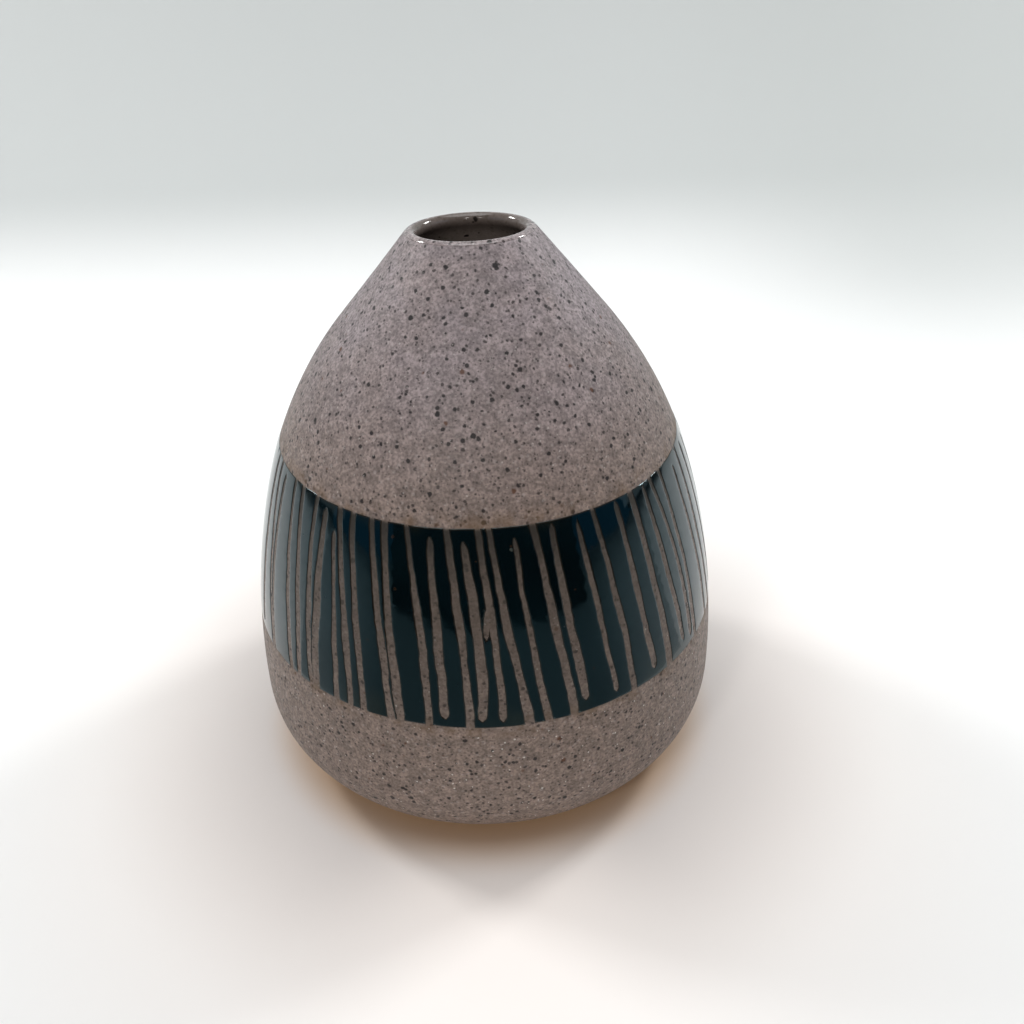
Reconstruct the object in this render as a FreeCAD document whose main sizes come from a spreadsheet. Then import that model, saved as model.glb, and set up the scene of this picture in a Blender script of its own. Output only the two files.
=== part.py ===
"""Ceramic bud vase: a thrown stoneware body, a band of glossy glaze scratched through
to the clay, and the clear glaze that lines the inside and the lip.

The origin is the centre of the face the foot rests on, +Z is up the vase's axis, and
the front of the vase faces -Y.  Azimuths are in degrees from +X, so the front is -90.
"""
import FreeCAD
import Part
import Sketcher

import math
import os
import random

V = FreeCAD.Vector
UP = V(0, 0, 1)

# Driving dimensions, in millimetres and degrees.
SIZES = [
    ("belly_radius", 45.0, "greatest outside radius"),
    ("belly_height", 16.5, "height of the greatest radius above the table"),
    ("foot_radius", 33.8, "outer edge of the flat foot"),
    ("recess_radius", 27.0, "edge of the hollow under the foot"),
    ("recess_depth", 1.0, "depth of the hollow under the foot"),
    ("turn_radius", 15.9, "round between the wall and the trimmed bevel"),
    ("side_radius", 144.4, "long arc of the outer wall"),
    ("shoulder_height", 59.4, "height at which the wall starts to close in"),
    ("shoulder_radius", 82.4, "arc of the shoulder"),
    ("neck_angle", 39.65, "slope of the straight top, from the vertical"),
    ("full_height", 102.7, "top of the clay lip above the table"),
    ("lip_radius", 1.1, "half the thickness of the wall at the rounded lip"),
    ("wall_thickness", 4.5, "thickness of the wall at the belly"),
    ("floor_height", 6.0, "inside floor above the table"),
    ("corner_radius", 14.0, "round between the inside floor and wall"),
    ("inner_side_radius", 142.0, "long arc of the inner wall"),
    ("inner_shoulder_radius", 74.0, "arc of the inner shoulder"),
    ("band_bottom", 33.0, "lower edge of the glaze band"),
    ("band_top", 66.9, "upper edge of the glaze band"),
    ("band_thickness", 0.25, "thickness of the fired glaze band"),
    ("liner_thickness", 0.2, "thickness of the clear glaze inside"),
    ("wrap_angle", 45.0, "where the clear glaze stops on the outside of the lip, from level"),
    ("scratch_inner", 30.0, "radius at which a scratch's cutter starts"),
    ("scratch_depth", 20.0, "radial length of a scratch's cutter"),
]
S = {name: value for name, value, note in SIZES}

# Scratches on the front: azimuth at the top, at mid height and at the bottom of the
# band, height of the upper and of the lower end, and width.  An end beyond the band's
# edge runs out through it.
FRONT_SCRATCHES = [
    (-165.0, -162.5, -161.0, 68, 34.5, 1.2), (-160.5, -156.5, -152.9, 68, 31, 1.1),
    (-155.8, -154.3, -152.4, 66, 31, 1.2), (-149.0, -145.8, -143.0, 68, 31, 1.1),
    (-144.7, -141.2, -139.7, 68, 31, 1.1), (-138.0, -136.8, -135.0, 68, 31, 1.0),
    (-134.0, -133.6, -133.5, 65.8, 31, 1.6), (-130.6, -128.0, -126.7, 63, 31, 1.0),
    (-129.0, -124.9, -122.7, 68, 31, 1.2), (-124.7, -121.6, -119.3, 68, 31, 1.3),
    (-119.0, -115.2, -112.5, 68, 31, 1.2), (-115.2, -112.5, -110.4, 68, 31, 1.4),
    (-109.3, -105.2, -103.5, 68, 31, 1.1), (-103.4, -101.4, -99.7, 65.5, 34.6, 1.3),
    (-99.0, -96.1, -94.5, 68, 31, 1.3), (-95.4, -92.3, -92.0, 65, 34.2, 1.7),
    (-91.3, -88.7, -87.5, 68, 34.0, 1.2), (-88.6, -85.2, -81.8, 68, 31, 1.4),
    (-82.8, -80.6, -77.7, 65.2, 31, 1.1), (-77.4, -74.6, -71.6, 68, 31, 1.4),
    (-72.9, -71.1, -68.3, 66.3, 35.2, 1.3), (-66.0, -63.6, -60.8, 65.6, 34.5, 0.9),
    (-61.0, -58.3, -56.0, 68, 31, 1.1), (-53.7, -52.0, -49.2, 66.5, 34.8, 1.3),
    (-48.1, -46.2, -43.9, 68, 31, 1.5), (-42.9, -40.6, -37.0, 66.5, 35.2, 1.1),
    (-39.1, -35.4, -33.7, 68, 34.3, 1.0), (-34.2, -32.6, -31.0, 68, 31, 1.1),
    (-26.2, -24.6, -22.0, 65.3, 31, 0.9), (-20.4, -19.7, -17.0, 68, 31, 1.1),
    (-14.2, -13.4, -11.5, 66, 31, 1.1),
]
# The rest of the way round, between these azimuths, the scratches follow one another
# at uneven steps of about these many degrees.
BACK_START = -8.0
BACK_END = 182.0
BACK_STEP = (3.2, 6.6)
BACK_SEED = 11


def back_scratches():
    """Uneven scratches round the back, drawn in the same way as those in front."""
    rng = random.Random(BACK_SEED)
    scratches = []
    azimuth = BACK_START
    while azimuth < BACK_END:
        lean = rng.uniform(1.0, 5.5)
        bow = rng.uniform(-0.4, 0.9)
        upper = rng.choice((68, 68, 66.3, 65.4))
        lower = rng.choice((31, 31, 31, 34.4, 35.2))
        width = rng.uniform(0.95, 1.5)
        middle = azimuth + lean / 2 + bow
        scratches.append((azimuth, middle, azimuth + lean, upper, lower, width))
        azimuth += rng.uniform(*BACK_STEP)
    return scratches


def polar(centre, radius, degrees):
    """The point of a circle in the section plane at an angle from +X."""
    angle = math.radians(degrees)
    return V(centre.x + radius * math.cos(angle), centre.y + radius * math.sin(angle), 0)


class Profile:
    """Centres and end angles of the section's arcs, from the driving dimensions."""

    def __init__(self):
        neck = S["neck_angle"]
        normal = V(math.cos(math.radians(neck)), math.sin(math.radians(neck)), 0)
        # Outside, from the foot up.
        self.turn = V(S["belly_radius"] - S["turn_radius"], S["belly_height"], 0)
        to_foot = V(S["foot_radius"], 0, 0) - self.turn
        tangent = math.degrees(math.acos(S["turn_radius"] / to_foot.Length))
        self.bevel_angle = math.degrees(math.atan2(to_foot.y, to_foot.x)) + tangent
        self.side = V(S["belly_radius"] - S["side_radius"], S["belly_height"], 0)
        rise = S["shoulder_height"] - S["belly_height"]
        self.side_angle = math.degrees(math.asin(rise / S["side_radius"]))
        self.shoulder = polar(self.side, S["side_radius"] - S["shoulder_radius"], self.side_angle)
        # The lip is a half round between two parallel lines.
        lip_height = S["full_height"] - S["lip_radius"]
        reach = self.shoulder.dot(normal) + S["shoulder_radius"] - S["lip_radius"]
        self.lip = V((reach - lip_height * normal.y) / normal.x, lip_height, 0)
        # Inside, from the floor up.
        inner_radius = S["belly_radius"] - S["wall_thickness"]
        corner_height = S["floor_height"] + S["corner_radius"]
        self.corner = V(inner_radius - S["corner_radius"], corner_height, 0)
        self.inner_side = V(inner_radius - S["inner_side_radius"], corner_height, 0)
        step = S["inner_side_radius"] - S["inner_shoulder_radius"]
        gap = self.lip.dot(normal) - S["lip_radius"] - S["inner_shoulder_radius"]
        turned = math.acos((gap - self.inner_side.dot(normal)) / step)
        self.inner_angle = neck - math.degrees(turned)
        self.inner_shoulder = polar(self.inner_side, step, self.inner_angle)
        self.neck = neck


def make_sheet(doc):
    """The spreadsheet of driving dimensions, one row each."""
    sheet = doc.addObject("Spreadsheet::Sheet", "Sizes")
    for row, (name, value, note) in enumerate(SIZES, start=1):
        sheet.set(f"A{row}", name)
        sheet.set(f"B{row}", str(value))
        sheet.set(f"C{row}", note)
        sheet.setAlias(f"B{row}", name)
    doc.recompute()
    return sheet


def section_sketch(body, name):
    """A sketch on the body's own XZ plane, so its x is radius and its y is height."""
    sketch = body.newObject("Sketcher::SketchObject", name)
    plane = [f for f in body.Origin.OriginFeatures if f.Role == "XZ_Plane"][0]
    sketch.AttachmentSupport = [(plane, "")]
    sketch.MapMode = "FlatFace"
    return sketch


def line(sketch, start, end):
    return sketch.addGeometry(Part.LineSegment(start, end))


def arc(sketch, centre, radius, first, last):
    circle = Part.Circle(centre, UP, radius)
    return sketch.addGeometry(Part.ArcOfCircle(circle, math.radians(first), math.radians(last)))


def relate(sketch, kind, *places):
    sketch.addConstraint(Sketcher.Constraint(kind, *places))


def measure(sketch, kind, places, value, name, formula):
    """A dimension that follows the spreadsheet."""
    index = sketch.addConstraint(Sketcher.Constraint(kind, *places, value))
    sketch.renameConstraint(index, name)
    sketch.setExpression(f"Constraints.{name}", formula)


def height_of(sketch, place, value, name, formula):
    measure(sketch, "DistanceY", (-1, 1) + place, value, name, formula)


def radius_of_point(sketch, place, value, name, formula):
    measure(sketch, "DistanceX", (-1, 1) + place, value, name, formula)


def revolve(body, sketch):
    """Turn the section a full circle about the vase's axis."""
    feature = body.newObject("PartDesign::Revolution", sketch.Name + "Revolution")
    feature.Profile = sketch
    feature.ReferenceAxis = (sketch, ["V_Axis"])
    feature.Angle = 360.0
    body.Tip = feature
    return feature


def draw_outer_wall(sketch, p):
    """Foot, trimmed bevel, belly, side, shoulder, straight top and round lip."""
    foot = line(sketch, V(S["recess_radius"], 0, 0), V(S["foot_radius"], 0, 0))
    bevel_end = polar(p.turn, S["turn_radius"], p.bevel_angle)
    bevel = line(sketch, V(S["foot_radius"], 0, 0), bevel_end)
    turn = arc(sketch, p.turn, S["turn_radius"], p.bevel_angle, 0)
    side = arc(sketch, p.side, S["side_radius"], 0, p.side_angle)
    shoulder = arc(sketch, p.shoulder, S["shoulder_radius"], p.side_angle, p.neck)
    neck_start = polar(p.shoulder, S["shoulder_radius"], p.neck)
    neck_end = polar(p.lip, S["lip_radius"], p.neck)
    neck = line(sketch, neck_start, neck_end)
    lip = arc(sketch, p.lip, S["lip_radius"], p.neck, p.neck + 180)
    relate(sketch, "Horizontal", foot)
    relate(sketch, "PointOnObject", foot, 1, -1)
    relate(sketch, "Coincident", foot, 2, bevel, 1)
    for before, after in ((bevel, turn), (turn, side), (side, shoulder), (shoulder, neck), (neck, lip)):
        relate(sketch, "Tangent", before, 2, after, 1)
    relate(sketch, "Horizontal", turn, 3, turn, 2)
    radius_of_point(sketch, (foot, 1), S["recess_radius"], "recess_edge", "Sizes.recess_radius")
    radius_of_point(sketch, (foot, 2), S["foot_radius"], "foot_edge", "Sizes.foot_radius")
    radius_of_point(sketch, (turn, 2), S["belly_radius"], "belly", "Sizes.belly_radius")
    height_of(sketch, (turn, 2), S["belly_height"], "belly_level", "Sizes.belly_height")
    height_of(sketch, (side, 2), S["shoulder_height"], "shoulder_level", "Sizes.shoulder_height")
    measure(sketch, "Radius", (turn,), S["turn_radius"], "turn", "Sizes.turn_radius")
    measure(sketch, "Radius", (side,), S["side_radius"], "side", "Sizes.side_radius")
    measure(sketch, "Radius", (shoulder,), S["shoulder_radius"], "shoulder", "Sizes.shoulder_radius")
    slope = math.radians(90 + S["neck_angle"])
    measure(sketch, "Angle", (neck,), slope, "slope", "(90 + Sizes.neck_angle) * 1 deg")
    measure(sketch, "Radius", (lip,), S["lip_radius"], "lip", "Sizes.lip_radius")
    height_of(sketch, (lip, 3), p.lip.y, "lip_level", "Sizes.full_height - Sizes.lip_radius")
    # The lip's own radius from the axis follows from the wall, and the liner reads it.
    place = sketch.addConstraint(Sketcher.Constraint("DistanceX", -1, 1, lip, 3, p.lip.x))
    sketch.setDriving(place, False)
    sketch.renameConstraint(place, "lip_place")
    return foot, lip


def draw_inner_wall(sketch, p, inset, lip, prefix):
    """Inner neck line, shoulder, side, corner and floor, at a distance inside the clay.

    The neck line leaves the end of the lip's arc.  Returns the floor line.
    """
    neck_start = polar(p.lip, S["lip_radius"] + inset, p.neck + 180)
    neck_end = polar(p.inner_shoulder, S["inner_shoulder_radius"] - inset, p.neck)
    neck = line(sketch, neck_start, neck_end)
    shoulder_radius = S["inner_shoulder_radius"] - inset
    shoulder = arc(sketch, p.inner_shoulder, shoulder_radius, p.inner_angle, p.neck)
    side = arc(sketch, p.inner_side, S["inner_side_radius"] - inset, 0, p.inner_angle)
    corner = arc(sketch, p.corner, S["corner_radius"] - inset, -90, 0)
    floor_height = S["floor_height"] + inset
    floor = line(sketch, V(p.corner.x, floor_height, 0), V(0, floor_height, 0))
    relate(sketch, "Tangent", lip, 2, neck, 1)
    relate(sketch, "Tangent", neck, 2, shoulder, 2)
    relate(sketch, "Tangent", shoulder, 1, side, 2)
    relate(sketch, "Tangent", side, 1, corner, 2)
    relate(sketch, "Tangent", corner, 1, floor, 1)
    relate(sketch, "Horizontal", floor)
    relate(sketch, "Horizontal", corner, 3, corner, 2)
    slope = math.radians(S["neck_angle"] - 90)
    measure(sketch, "Angle", (neck,), slope, prefix + "_slope", "(Sizes.neck_angle - 90) * 1 deg")
    less = " - Sizes.liner_thickness" if inset else ""
    measure(sketch, "Radius", (shoulder,), shoulder_radius, prefix + "_shoulder",
            "Sizes.inner_shoulder_radius" + less)
    measure(sketch, "Radius", (side,), S["inner_side_radius"] - inset, prefix + "_side",
            "Sizes.inner_side_radius" + less)
    measure(sketch, "Radius", (corner,), S["corner_radius"] - inset, prefix + "_corner",
            "Sizes.corner_radius" + less)
    radius_of_point(sketch, (corner, 3), p.corner.x, prefix + "_corner_place",
                    "Sizes.belly_radius - Sizes.wall_thickness - Sizes.corner_radius")
    height_of(sketch, (corner, 3), p.corner.y, prefix + "_corner_level",
              "Sizes.floor_height + Sizes.corner_radius")
    relate(sketch, "PointOnObject", floor, 2, -2)
    return floor


def make_stoneware_body(doc, p):
    """The thrown and trimmed clay body, in one turned section."""
    body = doc.addObject("PartDesign::Body", "StonewareBody")
    body.Label = "stoneware_body"
    sketch = section_sketch(body, "WallSection")
    foot, lip = draw_outer_wall(sketch, p)
    floor = draw_inner_wall(sketch, p, 0.0, lip, "inner")
    recess = S["recess_depth"]
    axis = line(sketch, V(0, S["floor_height"], 0), V(0, recess, 0))
    ceiling = line(sketch, V(0, recess, 0), V(S["recess_radius"], recess, 0))
    edge = line(sketch, V(S["recess_radius"], recess, 0), V(S["recess_radius"], 0, 0))
    relate(sketch, "Vertical", axis)
    relate(sketch, "Horizontal", ceiling)
    relate(sketch, "Vertical", edge)
    for before, after in ((floor, axis), (axis, ceiling), (ceiling, edge), (edge, foot)):
        relate(sketch, "Coincident", before, 2, after, 1)
    height_of(sketch, (edge, 1), recess, "recess_level", "Sizes.recess_depth")
    revolve(body, sketch)
    return body


def make_liner_glaze(doc, p):
    """The clear glaze on the inside of the clay, up and over the lip."""
    body = doc.addObject("PartDesign::Body", "LinerGlaze")
    body.Label = "liner_glaze"
    sketch = section_sketch(body, "LinerSection")
    skin = S["liner_thickness"]
    wrap = S["wrap_angle"]
    lip = arc(sketch, p.lip, S["lip_radius"], wrap, p.neck + 180)
    floor = draw_inner_wall(sketch, p, 0.0, lip, "clay")
    top_lip = arc(sketch, p.lip, S["lip_radius"] + skin, wrap, p.neck + 180)
    top_floor = draw_inner_wall(sketch, p, skin, top_lip, "skin")
    outer_end = polar(p.lip, S["lip_radius"], wrap)
    cap = line(sketch, outer_end, polar(p.lip, S["lip_radius"] + skin, wrap))
    axis = line(sketch, V(0, S["floor_height"], 0), V(0, S["floor_height"] + skin, 0))
    relate(sketch, "Coincident", lip, 3, top_lip, 3)
    relate(sketch, "Perpendicular", lip, 1, cap, 1)
    relate(sketch, "Coincident", top_lip, 1, cap, 2)
    relate(sketch, "Coincident", floor, 2, axis, 1)
    relate(sketch, "Coincident", top_floor, 2, axis, 2)
    measure(sketch, "Radius", (lip,), S["lip_radius"], "lip", "Sizes.lip_radius")
    measure(sketch, "Radius", (top_lip,), S["lip_radius"] + skin, "skin_lip",
            "Sizes.lip_radius + Sizes.liner_thickness")
    height_of(sketch, (lip, 3), p.lip.y, "lip_level", "Sizes.full_height - Sizes.lip_radius")
    radius_of_point(sketch, (lip, 3), p.lip.x, "lip_place", "WallSection.Constraints.lip_place")
    height_of(sketch, (lip, 1), outer_end.y, "wrap_level",
              "Sizes.full_height - Sizes.lip_radius * (1 - sin(Sizes.wrap_angle * 1 deg))")
    revolve(body, sketch)
    return body


def make_band_ring(doc, p):
    """The whole ring of glaze on the outer wall, before it is scratched."""
    body = doc.addObject("PartDesign::Body", "BandRing")
    sketch = section_sketch(body, "BandSection")
    skin = S["band_thickness"]
    low = math.degrees(math.asin((S["band_bottom"] - p.side.y) / S["side_radius"]))
    high = math.degrees(math.asin((S["band_top"] - p.shoulder.y) / S["shoulder_radius"]))
    clay_side = arc(sketch, p.side, S["side_radius"], low, p.side_angle)
    clay_shoulder = arc(sketch, p.shoulder, S["shoulder_radius"], p.side_angle, high)
    top_shoulder = arc(sketch, p.shoulder, S["shoulder_radius"] + skin, p.side_angle, high)
    top_side = arc(sketch, p.side, S["side_radius"] + skin, low, p.side_angle)
    upper = line(sketch, polar(p.shoulder, S["shoulder_radius"], high),
                 polar(p.shoulder, S["shoulder_radius"] + skin, high))
    lower = line(sketch, polar(p.side, S["side_radius"], low),
                 polar(p.side, S["side_radius"] + skin, low))
    relate(sketch, "Tangent", clay_side, 2, clay_shoulder, 1)
    relate(sketch, "Tangent", top_side, 2, top_shoulder, 1)
    relate(sketch, "Coincident", clay_side, 3, top_side, 3)
    relate(sketch, "Coincident", clay_shoulder, 3, top_shoulder, 3)
    relate(sketch, "Perpendicular", clay_shoulder, 2, upper, 1)
    relate(sketch, "Coincident", upper, 2, top_shoulder, 2)
    relate(sketch, "Perpendicular", clay_side, 1, lower, 1)
    relate(sketch, "Coincident", lower, 2, top_side, 1)
    measure(sketch, "Radius", (clay_side,), S["side_radius"], "side", "Sizes.side_radius")
    measure(sketch, "Radius", (clay_shoulder,), S["shoulder_radius"], "shoulder",
            "Sizes.shoulder_radius")
    measure(sketch, "Radius", (top_side,), S["side_radius"] + skin, "top",
            "Sizes.side_radius + Sizes.band_thickness")
    measure(sketch, "DistanceX", (clay_side, 3, -1, 1), -p.side.x, "side_place",
            "Sizes.side_radius - Sizes.belly_radius")
    height_of(sketch, (clay_side, 3), p.side.y, "side_level", "Sizes.belly_height")
    height_of(sketch, (clay_side, 2), S["shoulder_height"], "shoulder_level",
              "Sizes.shoulder_height")
    height_of(sketch, (clay_side, 1), S["band_bottom"], "bottom_level", "Sizes.band_bottom")
    height_of(sketch, (clay_shoulder, 2), S["band_top"], "top_level", "Sizes.band_top")
    revolve(body, sketch)
    return body


def wall_radius(p, height):
    """Outside radius of the clay at a height within the band."""
    if height < S["shoulder_height"]:
        return p.side.x + math.sqrt(S["side_radius"] ** 2 - (height - p.side.y) ** 2)
    return p.shoulder.x + math.sqrt(S["shoulder_radius"] ** 2 - (height - p.shoulder.y) ** 2)


def make_scratch(doc, p, number, scratch):
    """A straight cutter for one scratch, from its upper to its lower end."""
    top_azimuth, _, low_azimuth, upper, lower, width = scratch
    middle = (upper + lower) / 2
    run = upper - lower
    sideways = wall_radius(p, middle) * math.radians(low_azimuth - top_azimuth)
    lean = math.degrees(math.atan2(sideways, run))
    azimuth = (top_azimuth + low_azimuth) / 2
    cutter = doc.addObject("Part::Box", f"Scratch{number}")
    cutter.Height = run / math.cos(math.radians(lean))
    cutter.Length = width
    cutter.setExpression("Width", "Sizes.scratch_depth")
    # The cutter leans about the radial line through its own middle, then goes round
    # the axis to its azimuth.
    centring = FreeCAD.Placement(V(-width / 2, 0, -cutter.Height.Value / 2), FreeCAD.Rotation())
    leaning = FreeCAD.Placement(V(0, 0, 0), FreeCAD.Rotation(V(0, 1, 0), lean))
    outward = FreeCAD.Placement(V(0, S["scratch_inner"], middle), FreeCAD.Rotation())
    around = FreeCAD.Placement(V(0, 0, 0), FreeCAD.Rotation(UP, azimuth - 90))
    cutter.Placement = around * outward * leaning * centring
    return cutter


def make_glaze_band(doc, p):
    """The ring of glaze with every scratch cut through it."""
    ring = make_band_ring(doc, p)
    cutters = []
    for number, scratch in enumerate(FRONT_SCRATCHES + back_scratches(), start=1):
        cutters.append(make_scratch(doc, p, number, scratch))
    group = doc.addObject("Part::MultiFuse", "Scratches")
    group.Shapes = cutters
    band = doc.addObject("Part::Cut", "GlazeBand")
    band.Label = "teal_glaze_band"
    band.Base = ring
    band.Tool = group
    return band


def check_and_write(doc, parts):
    """Stop on any failed object, then write one file for each sub-part."""
    for item in doc.Objects:
        if "Invalid" in item.State or "Error" in item.State:
            raise RuntimeError(f"{item.Label} failed: {item.State}")
        if item.isDerivedFrom("Sketcher::SketchObject") and not item.FullyConstrained:
            raise RuntimeError(f"{item.Label} is not fully constrained")
    os.makedirs("parts", exist_ok=True)
    for item in parts:
        shape = item.Shape
        if shape.isNull() or not shape.isValid():
            raise RuntimeError(f"{item.Label} has no valid shape")
        print(item.Label, "solids", len(shape.Solids), "volume mm3", round(shape.Volume, 1))
        shape.exportStep(f"parts/{item.Label}.step")


def main():
    doc = FreeCAD.newDocument("BudVase")
    make_sheet(doc)
    profile = Profile()
    parts = [
        make_stoneware_body(doc, profile),
        make_glaze_band(doc, profile),
        make_liner_glaze(doc, profile),
    ]
    doc.recompute()
    check_and_write(doc, parts)


main()
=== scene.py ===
"""The looks of the ceramic bud vase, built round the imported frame.

Metres, +Z up, the front of the vase faces -Y.  Lengths in this file are in millimetres
until a mesh is made, and azimuths are in degrees from +X, so the front is -90.
"""
import math
import random

import bmesh
import bpy
import numpy as np
from mathutils import Matrix, Vector, kdtree, noise
from mathutils.geometry import delaunay_2d_cdt


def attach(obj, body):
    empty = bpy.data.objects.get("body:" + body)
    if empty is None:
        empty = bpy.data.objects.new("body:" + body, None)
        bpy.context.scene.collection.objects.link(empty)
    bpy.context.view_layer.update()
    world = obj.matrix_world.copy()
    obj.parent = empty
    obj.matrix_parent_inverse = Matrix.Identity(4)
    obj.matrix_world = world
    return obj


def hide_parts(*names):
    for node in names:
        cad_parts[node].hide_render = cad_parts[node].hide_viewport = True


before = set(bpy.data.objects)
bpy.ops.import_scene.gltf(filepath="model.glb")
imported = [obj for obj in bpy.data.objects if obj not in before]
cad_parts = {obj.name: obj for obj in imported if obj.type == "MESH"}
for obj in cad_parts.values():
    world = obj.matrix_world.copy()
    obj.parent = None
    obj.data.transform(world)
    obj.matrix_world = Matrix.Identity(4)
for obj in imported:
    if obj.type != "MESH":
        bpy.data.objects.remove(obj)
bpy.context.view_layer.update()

MM = 0.001

# ---------------------------------------------------------------- the turned form
# The same driving dimensions as the part's, in millimetres.
BELLY_RADIUS = 45.0
BELLY_HEIGHT = 16.5
FOOT_RADIUS = 33.8
RECESS_RADIUS = 27.0
RECESS_DEPTH = 1.0
TURN_RADIUS = 15.9
SIDE_RADIUS = 144.4
SHOULDER_HEIGHT = 59.4
SHOULDER_RADIUS = 82.4
NECK_ANGLE = 39.65
FULL_HEIGHT = 102.7
LIP_RADIUS = 1.1
WALL = 4.5
FLOOR_HEIGHT = 6.0
CORNER_RADIUS = 14.0
INNER_SIDE_RADIUS = 142.0
INNER_SHOULDER_RADIUS = 74.0
BAND_BOTTOM = 33.0
BAND_TOP = 66.9
LINER_THICKNESS = 0.2
WRAP_ANGLE = 45.0
LINER_SUNK = 0.02      # the glazes' undersides are sunk this far into the clay
BAND_SUNK = 0.03

FRONT_SCRATCHES = [
    (-165.0, -162.5, -161.0, 68, 34.5, 1.2), (-160.5, -156.5, -152.9, 68, 31, 1.1),
    (-155.8, -154.3, -152.4, 66, 31, 1.2), (-149.0, -145.8, -143.0, 68, 31, 1.1),
    (-144.7, -141.2, -139.7, 68, 31, 1.1), (-138.0, -136.8, -135.0, 68, 31, 1.0),
    (-134.0, -133.6, -133.5, 65.8, 31, 1.6), (-130.6, -128.0, -126.7, 63, 31, 1.0),
    (-129.0, -124.9, -122.7, 68, 31, 1.2), (-124.7, -121.6, -119.3, 68, 31, 1.3),
    (-119.0, -115.2, -112.5, 68, 31, 1.2), (-115.2, -112.5, -110.4, 68, 31, 1.4),
    (-109.3, -105.2, -103.5, 68, 31, 1.1), (-103.4, -101.4, -99.7, 65.5, 34.6, 1.3),
    (-99.0, -96.1, -94.5, 68, 31, 1.3), (-95.4, -92.3, -92.0, 65, 34.2, 1.7),
    (-91.3, -88.7, -87.5, 68, 34.0, 1.2), (-88.6, -85.2, -81.8, 68, 31, 1.4),
    (-82.8, -80.6, -77.7, 65.2, 31, 1.1), (-77.4, -74.6, -71.6, 68, 31, 1.4),
    (-72.9, -71.1, -68.3, 66.3, 35.2, 1.3), (-66.0, -63.6, -60.8, 65.6, 34.5, 0.9),
    (-61.0, -58.3, -56.0, 68, 31, 1.1), (-53.7, -52.0, -49.2, 66.5, 34.8, 1.3),
    (-48.1, -46.2, -43.9, 68, 31, 1.5), (-42.9, -40.6, -37.0, 66.5, 35.2, 1.1),
    (-39.1, -35.4, -33.7, 68, 34.3, 1.0), (-34.2, -32.6, -31.0, 68, 31, 1.1),
    (-26.2, -24.6, -22.0, 65.3, 31, 0.9), (-20.4, -19.7, -17.0, 68, 31, 1.1),
    (-14.2, -13.4, -11.5, 66, 31, 1.1),
]
# A short stroke joins two scratches near the middle of the front.
BRIDGE_SCRATCH = (-89.6, -90.3, -91.0, 54.5, 49.3, 1.0)
BACK_START = -8.0
BACK_END = 182.0
BACK_STEP = (3.2, 6.6)
BACK_SEED = 11
SEAM = -169.0


def polar(centre, radius, degrees):
    angle = math.radians(degrees)
    return (centre[0] + radius * math.cos(angle), centre[1] + radius * math.sin(angle))


def arc_points(centre, radius, first, last, spacing):
    """Points and outward normals along an arc, both ends included."""
    count = max(2, round(abs(math.radians(last - first)) * radius / spacing) + 1)
    found = []
    for angle in np.linspace(first, last, count):
        normal = (math.cos(math.radians(angle)), math.sin(math.radians(angle)))
        found.append((*polar(centre, radius, angle), *normal))
    return found


def line_points(start, end, normal, spacing):
    """Points along a straight stretch, both ends included."""
    count = max(2, round(math.dist(start, end) / spacing) + 1)
    steps = np.linspace(0, 1, count)
    return [(start[0] + (end[0] - start[0]) * s, start[1] + (end[1] - start[1]) * s, *normal)
            for s in steps]


def joined(*stretches):
    """Stretches one after another, with each shared end given once."""
    points = list(stretches[0])
    for stretch in stretches[1:]:
        points += stretch[1:] if math.dist(points[-1][:2], stretch[0][:2]) < 1e-6 else stretch
    return points


class Section:
    """Centres and end angles of the section's arcs."""

    turn = (BELLY_RADIUS - TURN_RADIUS, BELLY_HEIGHT)
    side = (BELLY_RADIUS - SIDE_RADIUS, BELLY_HEIGHT)
    side_angle = math.degrees(math.asin((SHOULDER_HEIGHT - BELLY_HEIGHT) / SIDE_RADIUS))
    shoulder = polar(side, SIDE_RADIUS - SHOULDER_RADIUS, side_angle)
    normal = (math.cos(math.radians(NECK_ANGLE)), math.sin(math.radians(NECK_ANGLE)))
    reach = shoulder[0] * normal[0] + shoulder[1] * normal[1] + SHOULDER_RADIUS - LIP_RADIUS
    lip_height = FULL_HEIGHT - LIP_RADIUS
    lip = ((reach - lip_height * normal[1]) / normal[0], lip_height)
    to_foot = (FOOT_RADIUS - turn[0], -turn[1])
    bevel_angle = math.degrees(
        math.atan2(to_foot[1], to_foot[0]) + math.acos(TURN_RADIUS / math.hypot(*to_foot)))
    inner_radius = BELLY_RADIUS - WALL
    corner = (inner_radius - CORNER_RADIUS, FLOOR_HEIGHT + CORNER_RADIUS)
    inner_side = (inner_radius - INNER_SIDE_RADIUS, corner[1])
    step = INNER_SIDE_RADIUS - INNER_SHOULDER_RADIUS
    gap = lip[0] * normal[0] + lip[1] * normal[1] - LIP_RADIUS - INNER_SHOULDER_RADIUS
    across = inner_side[0] * normal[0] + inner_side[1] * normal[1]
    inner_angle = NECK_ANGLE - math.degrees(math.acos((gap - across) / step))
    inner_shoulder = polar(inner_side, step, inner_angle)


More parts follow.
